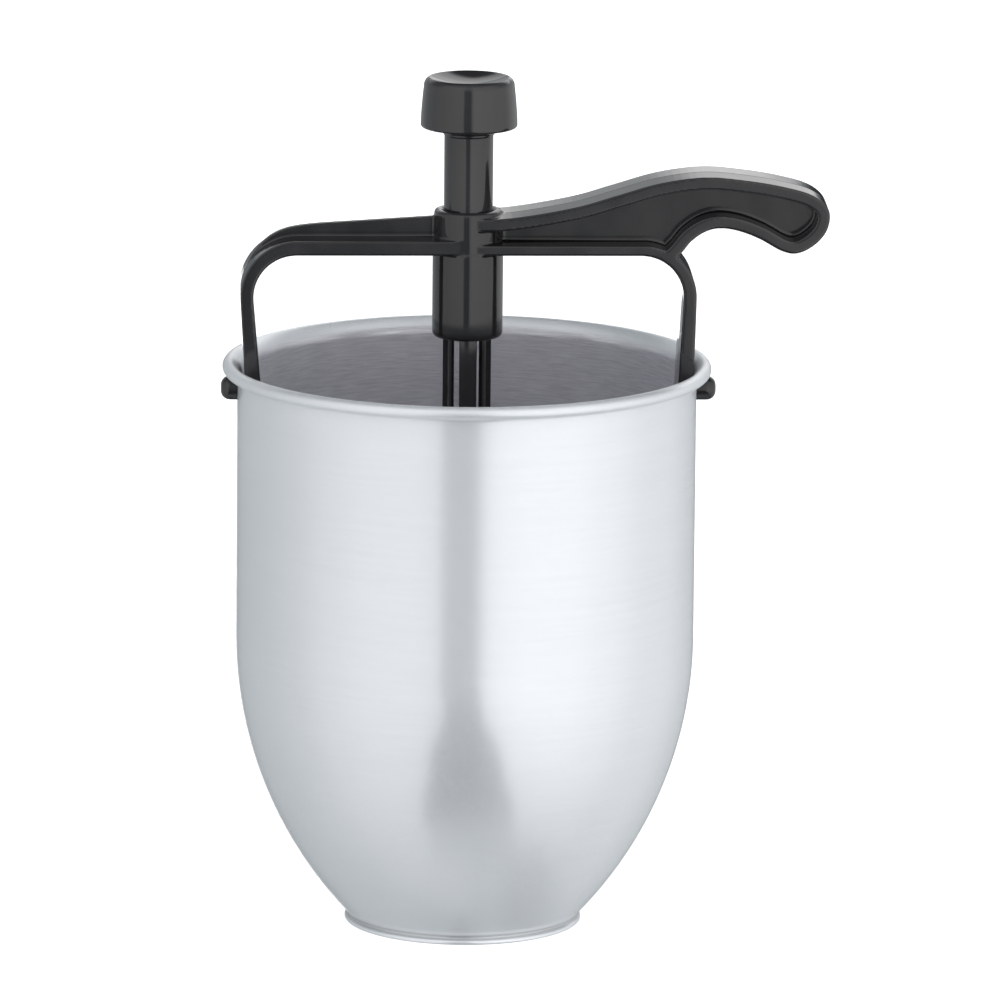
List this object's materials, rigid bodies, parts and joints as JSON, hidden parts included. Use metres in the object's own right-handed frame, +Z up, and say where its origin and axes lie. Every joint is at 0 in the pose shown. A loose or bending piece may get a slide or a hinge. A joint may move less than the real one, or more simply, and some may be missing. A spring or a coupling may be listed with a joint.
{
  "type": "batter dispenser",
  "caption": "Hand-held batter dispenser: open aluminium cup, black moulded bridge handle, and a thumb-pressed spring plunger that opens a disc valve in the foot.",
  "frame": {"origin": "centre of the foot, on the surface that the cup stands on", "axes": "+Z up the cup's axis, +X towards the grip"},
  "size_m": [0.1423, 0.115, 0.2022],
  "materials": {
    "aluminium_sheet": "satin, fine rings from spinning",
    "black_plastic": "glossy moulded",
    "spring_steel": "bright drawn wire",
    "bright_steel": "bright turned steel"
  },
  "bodies": {
    "housing": {"cup": "aluminium_sheet", "handle_frame": "black_plastic", "return_spring": "spring_steel"},
    "plunger": {"plunger_stem": "black_plastic", "thumb_knob": "black_plastic", "stem_socket": "black_plastic", "valve_disc": "black_plastic", "valve_washer": "bright_steel", "valve_screw": "bright_steel"}
  },
  "joints": [
    {"name": "plunger_press", "type": "slide", "parent": "housing", "child": "plunger", "axis": [0, 0, -1], "range_m": [0, 0.013], "stiffness_N_per_m": 800, "springref_m": -0.007, "deforming": ["return_spring"]}
  ]
}
